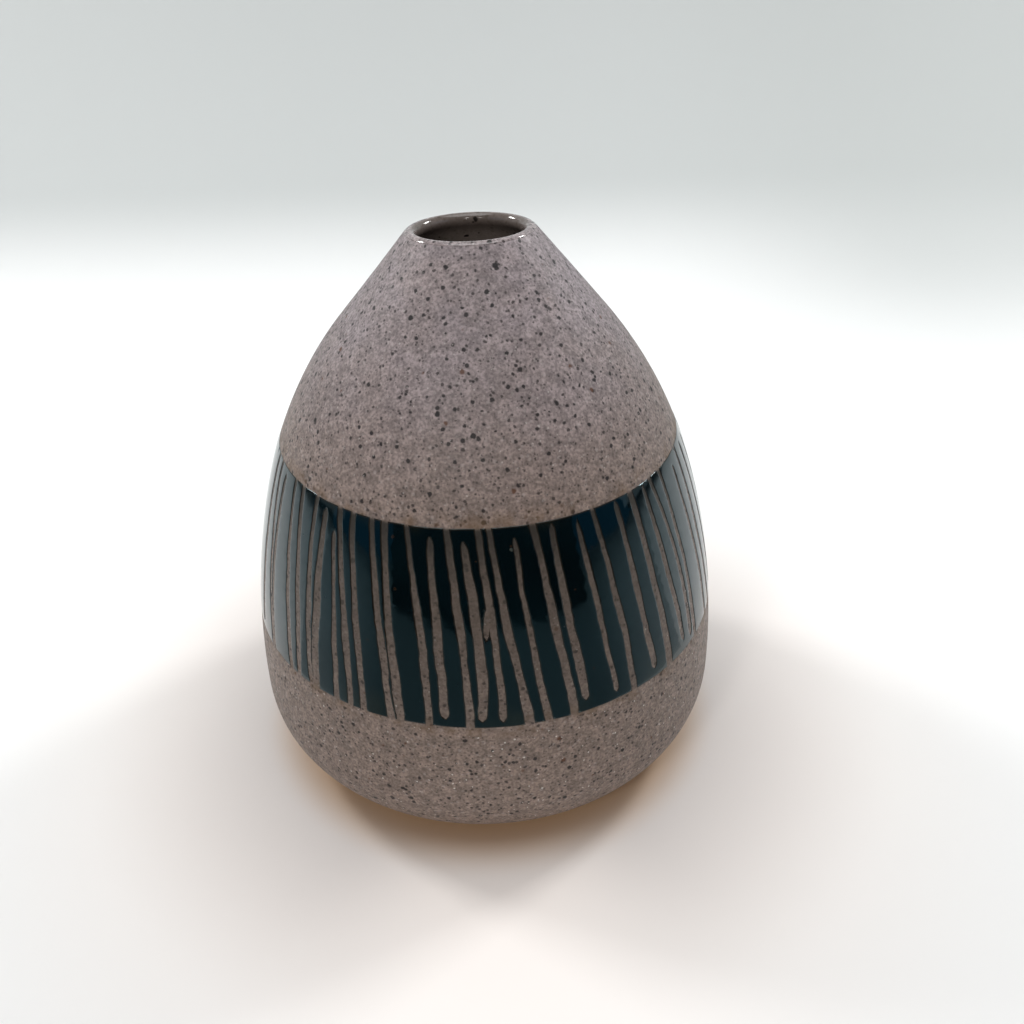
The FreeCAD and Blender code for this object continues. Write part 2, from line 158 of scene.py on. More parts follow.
def outer_outline(spacing):
    """Outside of the clay from the foot's edge up to the lip's outer end."""
    s = Section
    bevel_end = polar(s.turn, TURN_RADIUS, s.bevel_angle)
    bevel_normal = (math.cos(math.radians(s.bevel_angle)), math.sin(math.radians(s.bevel_angle)))
    neck_ends = (polar(s.shoulder, SHOULDER_RADIUS, NECK_ANGLE),
                 polar(s.lip, LIP_RADIUS, NECK_ANGLE))
    return joined(
        line_points((FOOT_RADIUS, 0), bevel_end, bevel_normal, spacing),
        arc_points(s.turn, TURN_RADIUS, s.bevel_angle, 0, spacing),
        arc_points(s.side, SIDE_RADIUS, 0, s.side_angle, spacing),
        arc_points(s.shoulder, SHOULDER_RADIUS, s.side_angle, NECK_ANGLE, spacing),
        line_points(*neck_ends, s.normal, spacing),
    )


def inner_outline(inset, spacing):
    """Inside of the clay, or of a skin on it, from the lip's inner end to the axis.

    The normals point into the hollow.
    """
    s = Section
    shoulder_radius = INNER_SHOULDER_RADIUS - inset
    neck_ends = (polar(s.lip, LIP_RADIUS + inset, NECK_ANGLE + 180),
                 polar(s.inner_shoulder, shoulder_radius, NECK_ANGLE))
    floor = FLOOR_HEIGHT + inset
    points = joined(
        line_points(*neck_ends, s.normal, spacing),
        arc_points(s.inner_shoulder, shoulder_radius, NECK_ANGLE, s.inner_angle, spacing),
        arc_points(s.inner_side, INNER_SIDE_RADIUS - inset, s.inner_angle, 0, spacing),
        arc_points(s.corner, CORNER_RADIUS - inset, 0, -90, spacing),
        line_points((s.corner[0], floor), (0, floor), (0, -1), spacing),
    )
    return [(r, z, -nr, -nz) for r, z, nr, nz in points]


def wall_at(height):
    """Radius and outward normal of the clay at a height within the band."""
    if height < SHOULDER_HEIGHT:
        centre, radius = Section.side, SIDE_RADIUS
    else:
        centre, radius = Section.shoulder, SHOULDER_RADIUS
    rise = (height - centre[1]) / radius
    level = math.sqrt(1 - rise * rise)
    return centre[0] + radius * level, level, rise


# ---------------------------------------------------------------- marks of the hand
LIP_TILT = (0.018, -0.066)    # the mouth leans: rise per unit to the right and to the back
TILT_FROM = 80.0              # height at which the tilt starts
RING_PITCH = 4.3              # throwing rings
RING_DEPTH = 0.008
OVAL = 0.12                   # out of round
LUMP = 0.10                   # slow unevenness of the wall


def smooth(value):
    value = min(max(value, 0.0), 1.0)
    return value * value * (3 - 2 * value)


def hand_marks(x, y, z):
    """Moves a point of the true turned form to where the potter's hand left it."""
    radius = math.hypot(x, y)
    if radius < 1e-6:
        return x, y, z
    angle = math.atan2(y, x)
    rings = RING_DEPTH * math.sin(2 * math.pi * (z / RING_PITCH + angle / (2 * math.pi)))
    rings *= 0.5 + 0.5 * noise.noise(Vector((angle, z * 0.05, 3.1)))
    oval = OVAL * math.cos(2 * angle + 0.7)
    lump = LUMP * noise.noise(Vector((x, y, z)) * 0.035)
    amount = smooth(z / 12.0) * min(radius / 20.0, 1.0)
    push = 1 + (rings + oval + lump) * amount / radius
    lift = LIP_TILT[0] * x + LIP_TILT[1] * y
    lift *= smooth((z - TILT_FROM) / (FULL_HEIGHT - TILT_FROM))
    return x * push, y * push, z + lift


def to_space(radius, height, degrees):
    angle = math.radians(degrees)
    x, y, z = hand_marks(radius * math.cos(angle), radius * math.sin(angle), height)
    return x * MM, y * MM, z * MM


# ---------------------------------------------------------------- meshes
def new_piece(name, points, faces):
    mesh = bpy.data.meshes.new(name)
    mesh.from_pydata(points, [], faces)
    mesh.validate()
    piece = bpy.data.objects.new(name, mesh)
    bpy.context.scene.collection.objects.link(piece)
    mesh.shade_smooth()
    return piece


def set_map(piece, places):
    """An efficient flat layout for the piece: one (u, v) for each face corner."""
    layer = piece.data.uv_layers.new(name="OFBake")
    layer.data.foreach_set("uv", np.asarray(places, np.float32).ravel())
    layer.active = True
    layer.active_render = True


def turned_piece(name, outline, columns, shown_rows):
    """A closed mesh turned from an outline that starts and ends on the axis.

    shown_rows are the first and last row of the stretch that gets most of the flat
    layout; the front and the back half of it lie one above the other.
    """
    first_row, last_row = shown_rows
    inner_rows = outline[1:-1]
    points = [to_space(r, z, 360 * c / columns) for r, z, *_ in inner_rows for c in range(columns)]
    start = len(points)
    points += [to_space(0, outline[0][1], 0), to_space(0, outline[-1][1], 0)]
    lengths = [0.0]
    for before, after in zip(outline, outline[1:]):
        lengths.append(lengths[-1] + math.dist(before[:2], after[:2]))
    shown_from, shown_to = lengths[first_row], lengths[last_row]
    strip = 0.04

    def place(row, column):
        """Where the corner goes in the flat layout, as one half or the other."""
        half = 0 if column[0] < columns // 2 else 1
        u = (column[1] - half * columns / 2) / (columns / 2)
        if first_row <= row[0] < last_row:
            share = (lengths[row[1]] - shown_from) / (shown_to - shown_from)
            return 0.004 + 0.992 * u, strip + (half + 0.004 + 0.992 * share) * (1 - strip) / 2
        share = lengths[row[1]] / lengths[-1]
        return 0.004 + 0.992 * u, strip * (0.1 + 0.4 * half + 0.35 * share)

    faces = []
    places = []
    rows = len(inner_rows)
    for row in range(rows - 1):
        for column in range(columns):
            right = (column + 1) % columns
            a, b = row * columns + column, row * columns + right
            faces.append((a, b, b + columns, a + columns))
            for down, across in ((0, 0), (0, 1), (1, 1), (1, 0)):
                places.append(place((row + 1, row + 1 + down), (column, column + across)))
    for column in range(columns):
        right = (column + 1) % columns
        faces.append((start, right, column))
        places += [place((0, 0), (column, column)), place((0, 1), (column, column + 1)),
                   place((0, 1), (column, column))]
        last = (rows - 1) * columns
        faces.append((start + 1, last + column, last + right))
        places += [place((rows, rows + 1), (column, column)),
                   place((rows, rows), (column, column)),
                   place((rows, rows), (column, column + 1))]
    piece = new_piece(name, points, faces)
    set_map(piece, places)
    return piece


def make_body():
    """The clay: foot, outer wall, lip, inner wall and floor."""
    foot = joined(
        line_points((0, RECESS_DEPTH), (RECESS_RADIUS - 0.3, RECESS_DEPTH), (0, -1), 9.0),
        line_points((RECESS_RADIUS, RECESS_DEPTH - 0.3), (RECESS_RADIUS, 0.3), (-1, 0), 0.7),
        line_points((RECESS_RADIUS + 0.3, 0), (FOOT_RADIUS - 0.4, 0), (0, -1), 3.0),
    )
    outer = outer_outline(0.74)
    # The foot's outer edge is softened.
    outer[0] = (FOOT_RADIUS - 0.1, 0.12, *outer[0][2:])
    outer[1] = (FOOT_RADIUS + 0.5, 0.62, *outer[1][2:])
    lip = arc_points(Section.lip, LIP_RADIUS, NECK_ANGLE, NECK_ANGLE + 180, 0.22)
    inner = inner_outline(0.0, 5.0)
    outline = foot + outer[:-1] + lip[:-1] + inner
    first = len(foot)
    return turned_piece("clay_body", outline, 480, (first, first + len(outer) + len(lip) - 2))


def make_liner():
    """The clear glaze: up the inside, over the lip and back down against the clay."""
    skin = LINER_THICKNESS
    inner = inner_outline(skin, 1.3)[::-1]
    lip = []
    for angle in np.linspace(NECK_ANGLE + 180, WRAP_ANGLE, 26):
        left = skin * (0.06 + 0.94 * smooth((angle - WRAP_ANGLE) / 75))
        lip.append((*polar(Section.lip, LIP_RADIUS + left, angle), 0, 0))
    back = arc_points(Section.lip, LIP_RADIUS - LINER_SUNK, WRAP_ANGLE, NECK_ANGLE + 180, 0.3)
    down = inner_outline(-LINER_SUNK, 5.0)
    outline = inner[:-1] + lip + back[:-1] + down
    shown = (0, len(inner) + len(lip))
    return turned_piece("liner_glaze_skin", outline, 256, shown)


# ---------------------------------------------------------------- the scratched band
FLAT = math.radians(1) * 41.0        # millimetres of band per degree, at its mean radius
EDGE_WIDTH = 0.3                     # the glaze's edge rounds down over this width
EDGE_SHARE = 0.25                    # of its thickness is left at the very edge
BAND_RELIEF = 0.08                   # how far the middle of a strip stands out
RIM_WIDTH = 1.3                      # the band thins out towards its upper and lower edge
SPACING = 0.6


def back_scratches():
    """Uneven scratches round the back, drawn in the same way as those in front."""
    rng = random.Random(BACK_SEED)
    scratches = []
    azimuth = BACK_START
    while azimuth < BACK_END:
        lean = rng.uniform(1.0, 5.5)
        bow = rng.uniform(-0.4, 0.9)
        upper = rng.choice((68, 68, 66.3, 65.4))
        lower = rng.choice((31, 31, 31, 34.4, 35.2))
        width = rng.uniform(0.95, 1.5)
        middle = azimuth + lean / 2 + bow
        scratches.append((azimuth, middle, azimuth + lean, upper, lower, width))
        azimuth += rng.uniform(*BACK_STEP)
    return scratches


def wander(seed, along, scale):
    """A smooth random value between about -1 and 1 along a line."""
    return noise.noise(Vector((along * scale, seed * 7.31, 0.5))) * 1.6


def end_shape(distance, taper):
    """How much of the width is left at a distance from a stroke's closed end."""
    if distance >= taper:
        return 1.0
    return math.sqrt(max(0.0, 1 - (1 - distance / taper) ** 2))


def scratch_outline(scratch, seed):
    """Both sides of one scratch, as a ring of points on the flat band."""
    top, middle, low, upper, lower, width = scratch
    curve = np.polyfit((66.0, 50.0, 34.0), (top, middle, low), 2)
    count = round((upper - lower) / SPACING)
    taper_top = 1.2 + 1.6 * abs(wander(seed, 4.0, 1.0))
    taper_low = 1.0 + 1.8 * abs(wander(seed, 9.0, 1.0))
    left, right = [], []
    for step in range(count + 1):
        z = upper + (lower - upper) * step / count
        x = np.polyval(curve, z) * FLAT
        x += 0.14 * wander(seed, z, 0.16)
        x += 0.05 * wander(seed, z, 0.6)
        half = width / 2 * (1 + 0.22 * wander(seed + 0.5, z, 0.11))
        half *= 0.95 - 0.22 * smooth((z - 48) / 16)
        half *= max(end_shape(upper - z, taper_top), 0.06) if upper < BAND_TOP else 1
        half *= max(end_shape(z - lower, taper_low), 0.06) if lower > BAND_BOTTOM else 1
        rag_left = 0.045 * wander(seed + 11, z, 0.9) + 0.03 * wander(seed + 12, z, 2.3)
        rag_right = 0.045 * wander(seed + 13, z, 0.9) + 0.03 * wander(seed + 14, z, 2.3)
        left.append((x - max(half + rag_left, 0.02), z))
        right.append((x + max(half + rag_right, 0.02), z))
    return left + right[::-1]


def band_edge(height, seed, seam_x, columns):
    """The band's wavy upper or lower edge, meeting itself at the seam."""
    points = []
    for column in range(columns + 1):
        angle = 2 * math.pi * (column % columns) / columns
        around = Vector((math.cos(angle), math.sin(angle), seed))
        wave = 0.13 * noise.noise(around * 3.0) + 0.08 * noise.noise(around * 14.0)
        points.append((seam_x + 360 * FLAT * column / columns, height + wave))
    return points


def side_points(ring, distance):
    """Points beside a closed ring, at a distance to its outside."""
    found = []
    for before, here, after in zip(ring[-1:] + ring[:-1], ring, ring[1:] + ring[:1]):
        tangent = (after[0] - before[0], after[1] - before[1])
        length = math.hypot(*tangent)
        if length > 1e-6:
            found.append((here[0] + tangent[1] / length * distance,
                          here[1] - tangent[0] / length * distance))
    return found


def make_band():
    """The ring of glaze, with each scratch a hole through it, and rounded edges."""
    scratches = FRONT_SCRATCHES + [BRIDGE_SCRATCH] + back_scratches()
    rings = [scratch_outline(scratch, seed) for seed, scratch in enumerate(scratches)]
    seam = SEAM * FLAT
    turn = 360 * FLAT
    columns = round(turn / SPACING)
    lower = band_edge(BAND_BOTTOM, 1.0, seam, columns)
    upper = band_edge(BAND_TOP, 2.0, seam, columns)
    heights = np.arange(BAND_BOTTOM + 1.2, BAND_TOP - 1.0, 1.2)
    outline = (lower + [(seam + turn, z) for z in heights] + upper[::-1]
               + [(seam, z) for z in heights[::-1]])
    points = [Vector(p) for p in outline]
    faces = [list(range(len(outline)))]
    for ring in rings:
        faces.append(list(range(len(points), len(points) + len(ring))))
        points += [Vector(p) for p in ring]
    loose = []
    for ring in rings:
        loose += side_points(ring, 0.1) + side_points(ring, 0.3)
    for offset in (0.1, 0.3):
        loose += [(x, z + offset) for x, z in lower[1:-1]]
        loose += [(x, z - offset) for x, z in upper[1:-1]]
    for row, z in enumerate(np.arange(BAND_BOTTOM + 1.5, BAND_TOP - 1.2, 1.3)):
        for x in np.arange(seam + 1.0, seam + turn - 0.8, 1.5):
            loose.append((x + (row % 2) * 0.7, z))
    inside = [p for p in loose if seam + 0.3 < p[0] < seam + turn - 0.3
              and BAND_BOTTOM - 1 < p[1] < BAND_TOP + 1]
    points += [Vector(p) for p in inside]
    verts, _, triangles, _, _, origins = delaunay_2d_cdt(points, [], faces, 0, 1e-4)
    kept = [t for t, origin in zip(triangles, origins) if list(origin) == [0]]
    return lift_band(verts, kept, rings, lower, upper)


def border_tree(rings, lower, upper):
    """Finds the nearest point of any edge of the glaze, sampled finely."""
    samples = []
    for ring in rings:
        for a, b in zip(ring, ring[1:] + ring[:1]):
            steps = max(1, round(math.dist(a, b) / 0.1))
            samples += [(a[0] + (b[0] - a[0]) * s / steps, a[1] + (b[1] - a[1]) * s / steps)
                        for s in range(steps)]
    for edge in (lower, upper):
        for a, b in zip(edge, edge[1:]):
            samples += [(a[0] + (b[0] - a[0]) * s / 6, a[1] + (b[1] - a[1]) * s / 6)
                        for s in range(6)]
    tree = kdtree.KDTree(len(samples))
    for index, sample in enumerate(samples):
        tree.insert((*sample, 0), index)
    tree.balance()
    return tree


def lift_band(verts, triangles, rings, lower, upper):
    """Wraps the flat band round the clay as a closed skin with rounded edges."""
    used = sorted({v for t in triangles for v in t})
    number = {v: i for i, v in enumerate(used)}
    tree = border_tree(rings, lower, upper)
    seam, turn = SEAM * FLAT, 360 * FLAT
    top, under, distances = [], [], []
    for v in used:
        x, z = verts[v]
        distance = tree.find((x, z, 0))[2]
        distances.append(distance)
        rounding = math.sqrt(max(0.0, 1 - (1 - min(distance / EDGE_WIDTH, 1)) ** 2))
        rounding = EDGE_SHARE + (1 - EDGE_SHARE) * rounding
        degrees = x / FLAT
        rim = smooth(min(BAND_TOP - z, z - BAND_BOTTOM) / RIM_WIDTH)
        height = BAND_RELIEF * rounding * (0.2 + 0.8 * rim)
        radius, across, rise = wall_at(z)
        top.append(to_space(radius + across * height, z + rise * height, degrees))
        under.append(to_space(radius - across * BAND_SUNK, z - rise * BAND_SUNK, degrees))
    count = len(used)
    faces = []
    edges = {}
    for t in triangles:
        a, b, c = (number[v] for v in t)
        faces.append((a, b, c))
        for edge in ((a, b), (b, c), (c, a)):
            edges[edge] = True
    border = [edge for edge in edges if (edge[1], edge[0]) not in edges]
    on_seam = {i for i, v in enumerate(used)
               if min(abs(verts[v][0] - seam), abs(verts[v][0] - seam - turn)) < 1e-3}
    sides = [(a, b) for a, b in border if not (a in on_seam and b in on_seam)]
    tops = len(faces)
    faces += [(c + count, b + count, a + count) for a, b, c in faces[:tops]]
    faces += [(b, a, a + count, b + count) for a, b in sides]
    piece = new_piece("teal_glaze", top + under, faces)
    return finish_band(piece, verts, used, tops, distances)


def finish_band(piece, verts, used, tops, distances):
    """The flat layout in three rows, the distance from the edge, and the seam's weld."""
    mesh = piece.data
    count = len(used)
    rows = 3
    seam, turn = SEAM * FLAT, 360 * FLAT
    strip = 0.02
    places = np.zeros((len(mesh.loops), 2), np.float32)
    height = BAND_TOP - BAND_BOTTOM
    for polygon in mesh.polygons:
        flat = [verts[used[v % count]] for v in polygon.vertices]
        middle = sum(p[0] for p in flat) / len(flat)
        row = min(int((middle - seam) / turn * rows), rows - 1)
        for loop, p in zip(polygon.loop_indices, flat):
            u = (p[0] - seam) / turn * rows - row
            v = (p[1] - BAND_BOTTOM) / height
            if polygon.index < tops:
                places[loop] = (0.012 + 0.976 * u,
                                strip + (row + 0.015 + 0.97 * v) * (1 - strip) / rows)
            else:
                places[loop] = (0.012 + 0.976 * u, strip * (0.1 + 0.8 * v))
    set_map(piece, places)
    rim = mesh.attributes.new("edge_distance", "FLOAT", "POINT")
    rim.data.foreach_set("value", np.asarray(distances * 2, np.float32))
    weld(piece)
    return piece


def weld(piece):
    """Joins the two sides of the seam."""
    built = bmesh.new()
    built.from_mesh(piece.data)
    bmesh.ops.remove_doubles(built, verts=built.verts, dist=2e-6)
    built.to_mesh(piece.data)
    built.free()


# ---------------------------------------------------------------- materials
class Tree:
    """Short calls for building a material's nodes."""

    def __init__(self, name):
        self.material = bpy.data.materials.new(name)
        self.material.use_nodes = True
        self.tree = self.material.node_tree
        self.shader = self.tree.nodes["Principled BSDF"]

    def add(self, kind, settings=None, **inputs):
        node = self.tree.nodes.new("ShaderNode" + kind)
        for name, value in (settings or {}).items():
            setattr(node, name, value)
        for name, value in inputs.items():
            self.feed(node.inputs[name.replace("_", " ")], value)
        return node

    def feed(self, socket, value):
        if isinstance(value, bpy.types.NodeSocket):
            self.tree.links.new(value, socket)
        else:
            socket.default_value = value

    def math(self, operation, first, second=0.0, third=0.0):
        node = self.add("Math", {"operation": operation})
        for socket, value in zip(node.inputs, (first, second, third)):
            self.feed(socket, value)
        return node.outputs[0]

    def steps(self, value, low, high, to_low=0.0, to_high=1.0):
        """A smooth ramp from one value to another."""
        node = self.add("MapRange", {"interpolation_type": "SMOOTHSTEP"})
        for name, given in (("Value", value), ("From Min", low), ("From Max", high),
                            ("To Min", to_low), ("To Max", to_high)):
            self.feed(node.inputs[name], given)
        return node.outputs["Result"]

    def mix(self, amount, first, second, blend="MIX"):
        node = self.add("Mix", {"data_type": "RGBA", "blend_type": blend})
        self.feed(node.inputs[0], amount)
        self.feed(node.inputs[6], first)
        self.feed(node.inputs[7], second)
        return node.outputs[2]

    def noise(self, coords, scale, detail=2.0, output="Fac"):
        node = self.add("TexNoise", Vector=coords, Scale=scale, Detail=detail)
        return node.outputs[output]

    def moved(self, coords, offset):
        node = self.add("VectorMath", {"operation": "ADD"})
        self.feed(node.inputs[0], coords)
        self.feed(node.inputs[1], offset)
        return node.outputs[0]

    def ragged(self, coords, scale, reach):
        """Coordinates pushed about a little, so that round marks turn irregular."""
        shift = self.add("VectorMath", {"operation": "SUBTRACT"})
        self.feed(shift.inputs[0], self.noise(coords, scale, 2.0, "Color"))
        self.feed(shift.inputs[1], (0.5, 0.5, 0.5))
        sized = self.add("VectorMath", {"operation": "SCALE"})
        self.feed(sized.inputs[0], shift.outputs[0])
        sized.inputs["Scale"].default_value = reach * 2
        return self.moved(coords, sized.outputs[0])

    def specks(self, coords, cell, radius, share, softness, seed):
        """A mask of grains: a share of a pattern's cells holds one, of uneven size.

        cell and radius are in metres.
        """
        apart = self.moved(coords, (seed * 0.37, seed * 0.11, 0.0))
        pattern = self.add("TexVoronoi", Vector=apart, Scale=1 / cell)
        picks = self.add("SeparateColor", Color=pattern.outputs["Color"])
        size = self.steps(picks.outputs[1], 0.0, 1.0, radius / cell * 0.45, radius / cell)
        edge = self.math("SUBTRACT", size, pattern.outputs["Distance"])
        mask = self.steps(edge, -softness * 0.5 * radius / cell, softness * 0.5 * radius / cell)
        return self.math("MULTIPLY", mask, self.math("LESS_THAN", picks.outputs[0], share))

    def height(self, coords):
        return self.add("SeparateXYZ", Vector=coords).outputs[2]

    def bump(self, height, strength, distance):
        node = self.add("Bump", Height=height, Strength=strength, Distance=distance)
        return node.outputs["Normal"]


def rgb(red, green, blue):
    return (red, green, blue, 1.0)


# Grains in the clay: cell, radius, share of the cells, softness, colour, strength.
CLAY_GRAINS = [
    (0.00100, 0.00030, 0.65, 1.0, rgb(0.46, 0.42, 0.41), 0.30),
    (0.00070, 0.00018, 0.95, 0.9, rgb(0.045, 0.036, 0.035), 0.68),
    (0.00120, 0.00029, 0.90, 0.7, rgb(0.026, 0.020, 0.020), 0.86),
    (0.00165, 0.00037, 0.90, 0.6, rgb(0.014, 0.011, 0.012), 0.95),
    (0.00330, 0.00047, 0.80, 0.5, rgb(0.010, 0.008, 0.009), 0.97),
    (0.00330, 0.00039, 0.42, 0.8, rgb(0.085, 0.028, 0.008), 0.85),
]


def clay_colour(t, coords, upper, lower):
    """Speckled stoneware: slow mottling, fine grain and the grains of iron and grog."""
    height = t.height(coords)
    # Painted shade: the colour runs from lower below to upper above; on the bare clay the darker,
    # warmer lower colour stands in for shade on the lower wall.
    colour = t.mix(t.steps(height, 0.060, 0.096), lower, upper)
    cloud = t.steps(t.noise(coords, 95.0, 3.0), 0.35, 0.65)
    colour = t.mix(t.math("MULTIPLY", cloud, 0.30), colour, rgb(0.215, 0.170, 0.148))
    mottle = t.steps(t.noise(coords, 620.0, 3.0), 0.3, 0.7, 0.80, 1.20)
    grain = t.steps(t.noise(coords, 2100.0, 2.0), 0.3, 0.7, 0.72, 1.30)
    shade = t.math("MULTIPLY", mottle, grain)
    grey = t.add("CombineColor", Red=shade, Green=shade, Blue=shade).outputs[0]
    colour = t.mix(1.0, colour, grey, "MULTIPLY")
    rough = t.ragged(coords, 1500.0, 0.00022)
    for seed, (cell, radius, share, softness, tint, strength) in enumerate(CLAY_GRAINS):
        mask = t.specks(rough, cell, radius, share, softness, seed + 1)
        colour = t.mix(t.math("MULTIPLY", mask, strength), colour, tint)
    # Pale grains show most near the foot, where the clay was trimmed.
    pale = t.specks(rough, 0.00120, 0.00016, 0.70, 0.6, len(CLAY_GRAINS) + 1)
    pale = t.math("MULTIPLY", pale, t.steps(height, 0.030, 0.066, 0.75, 0.32))
    return t.mix(pale, colour, rgb(0.70, 0.68, 0.65))


def near_band(t, height):
    """How close a height is to either edge of the glaze band, 1 at the edge."""
    top = t.math("ABSOLUTE", t.math("SUBTRACT", height, BAND_TOP * MM))
    low = t.math("ABSOLUTE", t.math("SUBTRACT", height, BAND_BOTTOM * MM))
    return t.steps(t.math("MINIMUM", top, low), 0.0, 0.0032, 1.0, 0.0)


def make_clay():
    """Bare fired stoneware with a faint sheen."""
    t = Tree("bare_clay")
    coords = t.add("TexCoord").outputs["Object"]
    # The second, darker and warmer colour is painted shade on the lower wall.
    colour = clay_colour(t, coords, rgb(0.264, 0.228, 0.240), rgb(0.208, 0.162, 0.138))
    height = t.height(coords)
    # Iron bleeds out of the glaze's edge into the clay, and the scratched clay is warmer; the
    # scratches are also painted darker across the front, as painted shade, and less so at the
    # sides, as painted sheen.
    rim = near_band(t, height)
    halo = t.math("MULTIPLY", rim, t.steps(t.noise(coords, 330.0, 3.0), 0.40, 0.7))
    colour = t.mix(t.math("MULTIPLY", halo, 0.60), colour, rgb(0.135, 0.080, 0.036))
    spots = t.specks(t.ragged(coords, 1500.0, 0.00022), 0.0020, 0.00046, 0.7, 0.8, 51)
    colour = t.mix(t.math("MULTIPLY", spots, t.math("MULTIPLY", rim, 0.9)), colour,
                   rgb(0.060, 0.028, 0.010))
    in_band = t.math("MULTIPLY", t.steps(height, 0.0325, 0.0335), t.steps(height, 0.0672, 0.0664))
    aside = t.math("ABSOLUTE", t.add("SeparateXYZ", Vector=coords).outputs[0])
    # Partly the scratched clay's own darker tone, partly painted shade across the front and
    # painted sheen at the sides.
    scratch_tone_and_front_shade = t.math("MULTIPLY", in_band, t.steps(aside, 0.028, 0.042, 1.0, 0.35))
    colour = t.mix(t.math("MULTIPLY", scratch_tone_and_front_shade, t.steps(height, 0.034, 0.056, 0.40, 0.72)), colour,
                   rgb(0.060, 0.048, 0.038))
    fade = t.math("ADD", height, t.math("MULTIPLY", t.noise(coords, 260.0, 3.0), 0.008))
    started = t.math("MULTIPLY", in_band, t.steps(fade, 0.060, 0.071))
    colour = t.mix(t.math("MULTIPLY", started, 0.88), colour, rgb(0.020, 0.018, 0.014))
    t.feed(t.shader.inputs["Base Color"], colour)
    t.feed(t.shader.inputs["Roughness"],
           t.steps(t.noise(coords, 700.0, 2.0), 0.3, 0.7, 0.48, 0.62))
    pits = t.specks(t.ragged(coords, 1500.0, 0.0002), 0.0012, 0.00022, 0.5, 1.0, 21)
    relief = t.math("SUBTRACT", t.noise(coords, 1900.0, 3.0), t.math("MULTIPLY", pits, 0.8))
    t.feed(t.shader.inputs["Normal"], t.bump(relief, 0.35, 0.00010))
    t.shader.inputs["IOR"].default_value = 1.45
    t.shader.inputs["Specular IOR Level"].default_value = 0.45
    return t.material


def make_teal_glaze():
    """Deep teal glass, brown where it thins at its edges."""
    t = Tree("teal_glaze")
    coords = t.add("TexCoord").outputs["Object"]
    distance = t.add("Attribute", {"attribute_name": "edge_distance"}).outputs["Fac"]
    pool = t.steps(t.noise(coords, 60.0, 3.0), 0.3, 0.7)
    colour = t.mix(pool, rgb(0.0007, 0.0030, 0.0042), rgb(0.0011, 0.0052, 0.0075))
    height = t.height(coords)
    ends = t.math("MAXIMUM", t.steps(height, 0.0400, 0.0345), t.steps(height, 0.0650, 0.0668))
    smear = t.math("MULTIPLY", ends, t.steps(t.noise(coords, 120.0, 3.0), 0.45, 0.7))
    colour = t.mix(t.math("MULTIPLY", smear, 0.6), colour, rgb(0.012, 0.013, 0.008))
    thin = t.steps(distance, 0.30, 0.03)
    colour = t.mix(t.math("MULTIPLY", thin, 0.75), colour, rgb(0.030, 0.022, 0.014))
    rough = t.ragged(coords, 1500.0, 0.00022)
    for cell, radius, share, seed, tint in ((0.0026, 0.00033, 0.20, 31, rgb(0.020, 0.012, 0.007)),
                                            (0.0040, 0.00028, 0.12, 32, rgb(0.05, 0.06, 0.055))):
        colour = t.mix(t.specks(rough, cell, radius, share, 0.7, seed), colour, tint)
    t.feed(t.shader.inputs["Base Color"], colour)
    blemish = t.specks(rough, 0.0030, 0.00030, 0.25, 1.0, 33)
    base = t.steps(t.noise(coords, 240.0, 2.0), 0.3, 0.7, 0.055, 0.10)
    t.feed(t.shader.inputs["Roughness"], t.math("MULTIPLY_ADD", blemish, 0.22, base))
    relief = t.math("MULTIPLY_ADD", blemish, -0.25, t.noise(coords, 220.0, 2.0))
    t.feed(t.shader.inputs["Normal"], t.bump(relief, 0.05, 0.00030))
    t.shader.inputs["IOR"].default_value = 1.5
    t.shader.inputs["Specular IOR Level"].default_value = 0.5
    t.shader.inputs["Specular Tint"].default_value = rgb(0.52, 0.86, 0.97)
    return t.material


